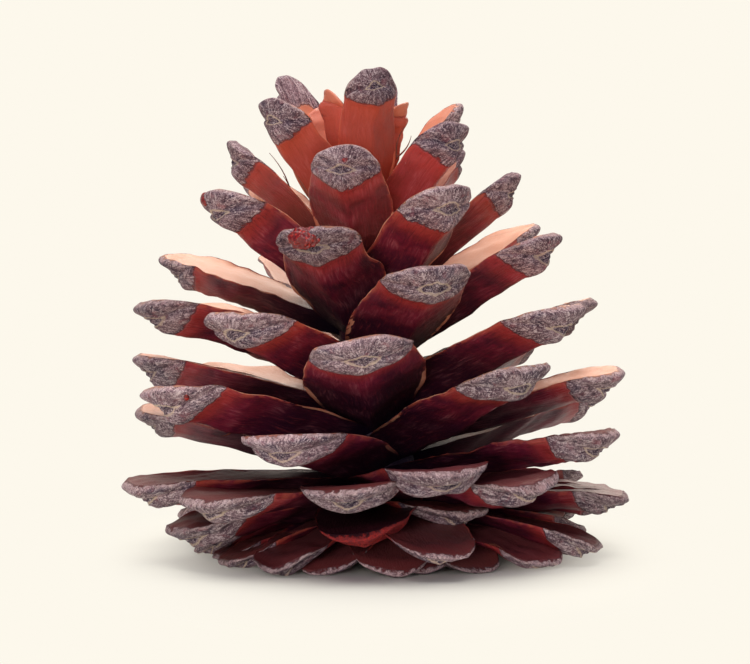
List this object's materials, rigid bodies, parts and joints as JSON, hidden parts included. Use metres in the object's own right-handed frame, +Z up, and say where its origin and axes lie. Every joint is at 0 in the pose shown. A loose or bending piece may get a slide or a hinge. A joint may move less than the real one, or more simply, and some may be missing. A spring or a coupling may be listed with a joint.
{
  "type": "pine cone",
  "caption": "Open, dry pine cone standing upright, with woody scales spiralling round a central axis.",
  "frame": {"origin": "centre of the flat stalk scar under the cone, on the surface that the cone stands on", "axes": "+Z up, from the stalk scar to the tip of the cone; -Y is the side that faces the viewer in the picture, +X is that viewer's right"},
  "size_m": [0.0558, 0.057, 0.0552],
  "materials": {
    "cone_wood": "dry reddish brown wood with weathered grey scale ends"
  },
  "bodies": {
    "root": {"pine_cone": "cone_wood"}
  },
  "joints": []
}
